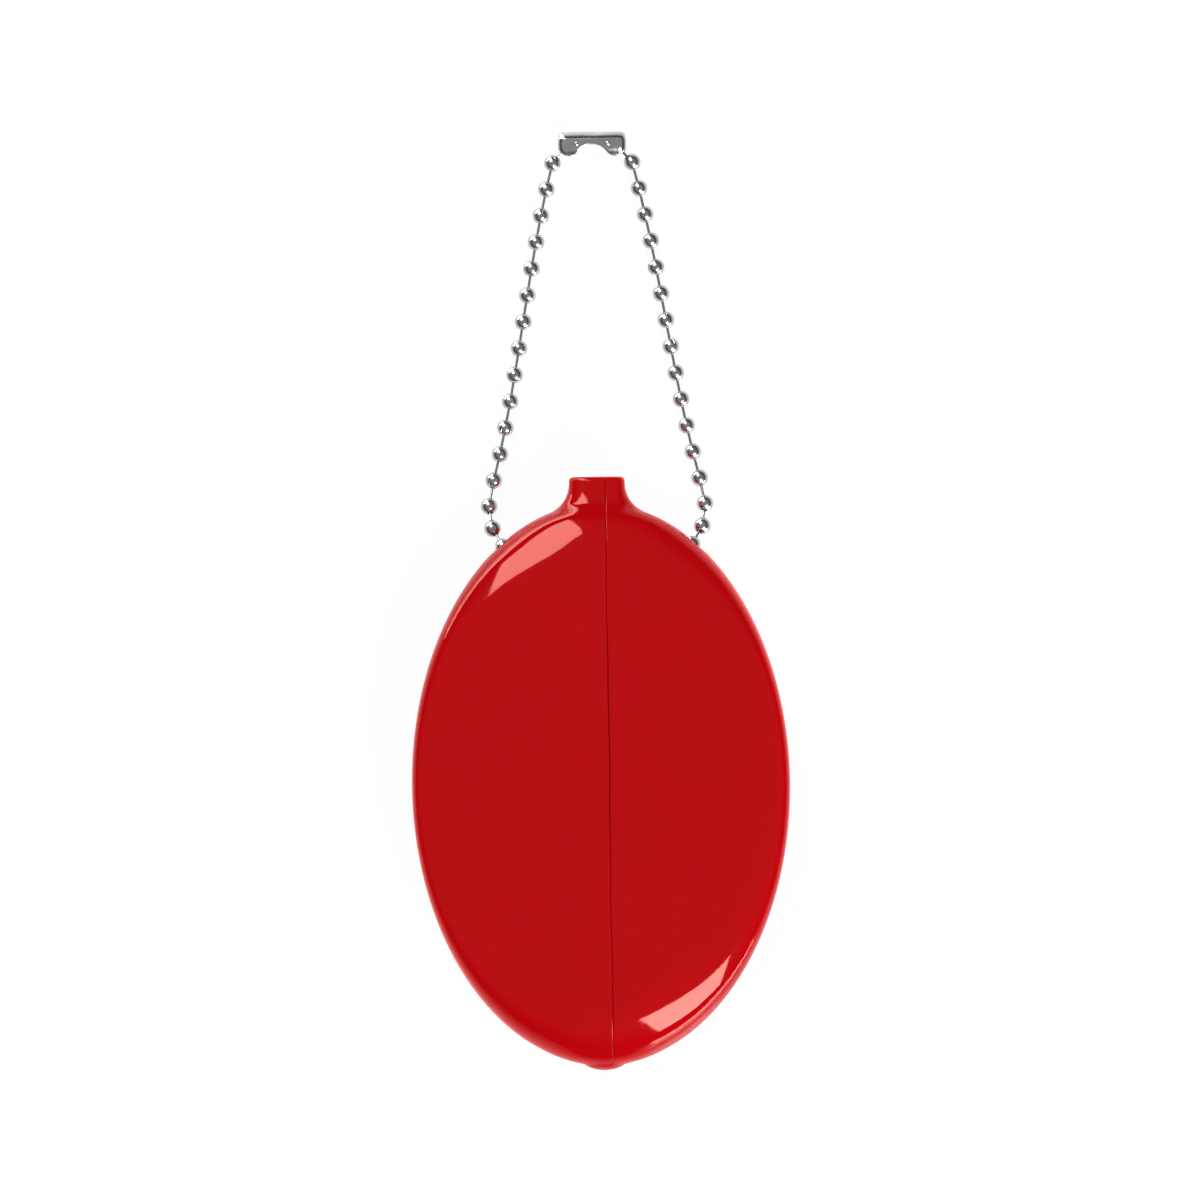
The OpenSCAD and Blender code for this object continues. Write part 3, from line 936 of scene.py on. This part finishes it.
def make_connector():
    """The pressed connector: its solid's mesh with soft pressed edges, a rolled fold,
    rounded ends, a crowned front and a few shallow dents."""
    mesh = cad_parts["connector"].data.copy()
    weld(mesh, MERGE, outward=False)
    piece = bpy.data.objects.new("connector_pressing", mesh)
    bpy.context.scene.collection.objects.link(piece)
    skin = piece.modifiers.new("skin", "REMESH")
    skin.mode = "VOXEL"
    skin.voxel_size = PRESSING_GRAIN * MM
    soften = piece.modifiers.new("soften", "SMOOTH")
    soften.factor = 0.5
    soften.iterations = PRESSING_SOFTENING
    pressed = finished_mesh(piece)
    piece.modifiers.clear()
    piece.data = pressed
    pressed.name = "connector_pressing"
    low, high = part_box("connector")
    middle = (low + high) / 2 / MM
    half = (high - low) / 2 / MM
    x, y, z = (read_places(pressed) - np.array(middle)).T
    inward = clamp01(1 - (x / half.x) ** 4)
    fold = clamp01((y - half.y) / FOLD_REACH + 1)
    foot = clamp01((-FOOT_START - y) / FOOT_REACH)
    end = clamp01((np.abs(x) - half.x) / END_REACH + 1)
    drop = FOLD_REACH * (FOLD_SLOPE * fold + FOLD_CURVE * fold ** 2)
    drop = drop + FOOT_REACH * FOOT_CURVE * foot ** 2
    section = (1 - drop / half.z) * np.sqrt(1 - END_ROUND * end ** 2)
    crown = CONNECTOR_CROWN * inward * clamp01(1 - (y / half.y) ** 2)
    dents = DENT_DEPTH * inward
    for along, (turns, phase) in ((x, DENTS_ACROSS), (y, DENTS_ALONG)):
        dents = dents * np.sin(turns * along + phase)
    z = z * section + (crown + dents) * smooth(2 * z / half.z - 0.6)
    x = x * (1 - END_BULGE * (y / half.y) ** 2)
    place = np.stack([x, y, z], axis=-1) + np.array(middle)
    pressed.vertices.foreach_set("co", (place * MM).ravel())
    pressed.update()
    pressed.materials.clear()
    pressed.materials.append(connector_steel)
    pressed.shade_smooth()
    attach(piece, "connector")
    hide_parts("connector")


make_connector()

lens = bpy.data.cameras.new("camera")
lens.sensor_width = 36.0
lens.lens = lens.sensor_width * VIEW_DISTANCE / (FRAME_WIDTH * MM)
lens.clip_start = 0.01
lens.clip_end = 20.0
camera = bpy.data.objects.new("camera", lens)
camera.location = (VIEW_CENTRE[0] * MM, VIEW_CENTRE[1] * MM, VIEW_PLANE * MM + VIEW_DISTANCE)
camera.rotation_euler = (0, 0, VIEW_TURN)
bpy.context.scene.collection.objects.link(camera)
bpy.context.scene.camera = camera


def softbox(name, azimuth, elevation, distance, width, height, brightness):
    """An oblong lamp that faces the purse, with its distance and sizes in metres.
    A brightness of 1 looks white in a mirror."""
    around, up = math.radians(azimuth), math.radians(elevation)
    level = math.cos(up)
    towards = Vector((math.cos(around) * level, math.sin(around) * level, math.sin(up)))
    lamp = bpy.data.lights.new(name, "AREA")
    lamp.shape = "RECTANGLE"
    lamp.size = width
    lamp.size_y = height
    lamp.energy = brightness * math.pi * width * height
    stand = bpy.data.objects.new(name, lamp)
    stand.location = towards * distance
    stand.rotation_euler = towards.to_track_quat("Z", "Y").to_euler()
    bpy.context.scene.collection.objects.link(stand)


softbox("upper_left_softbox", 117, 40, 1.0, 0.31, 0.62, 10)
softbox("lower_right_softbox", -57, 39, 1.0, 0.31, 0.56, 17)
softbox("upper_left_strip", 128, 4.5, 1.0, 0.9, 0.13, 9)
softbox("lower_right_strip", -50, 4, 1.0, 0.7, 0.1, 10)


def make_room():
    """A dim studio with a grey ceiling and a pale line round the horizon. The line is
    broken by a dark flag at the chain's end."""
    room = Finish.of_world("dim_studio")
    direction = room.node("ShaderNodeTexCoord", output="Generated")
    up = room.node("ShaderNodeSeparateXYZ", {}, {"Vector": direction}, output="Z")
    ahead = room.node("ShaderNodeSeparateXYZ", {}, {"Vector": direction}, output="Y")
    flag = room.between(ahead, 0.5, 0.75)
    ceiling = CEILING_GREY * room.between(up, 0.3, 0.85)
    horizon = HORIZON_GREY * (1 - room.between(up.size(), 0.01, 0.12)) * (1 - flag)
    light = SHADE_GREY + ceiling + horizon
    grey = room.colours(light.at_most(1.0), (0, 0, 0), (1, 1, 1))
    shine = room.node("ShaderNodeBackground", {}, {"Color": grey, "Strength": 1.0})
    room.output(shine, "ShaderNodeOutputWorld")
    return room.owner


bpy.context.scene.world = make_room()

bpy.ops.mesh.primitive_plane_add(size=FLOOR_SIZE, location=(0, 0, -FLOOR_DROP * MM))
floor = bpy.context.active_object
floor.name = "floor"
floor.data.materials.append(make_floor())

bpy.context.scene.view_settings.view_transform = "Standard"
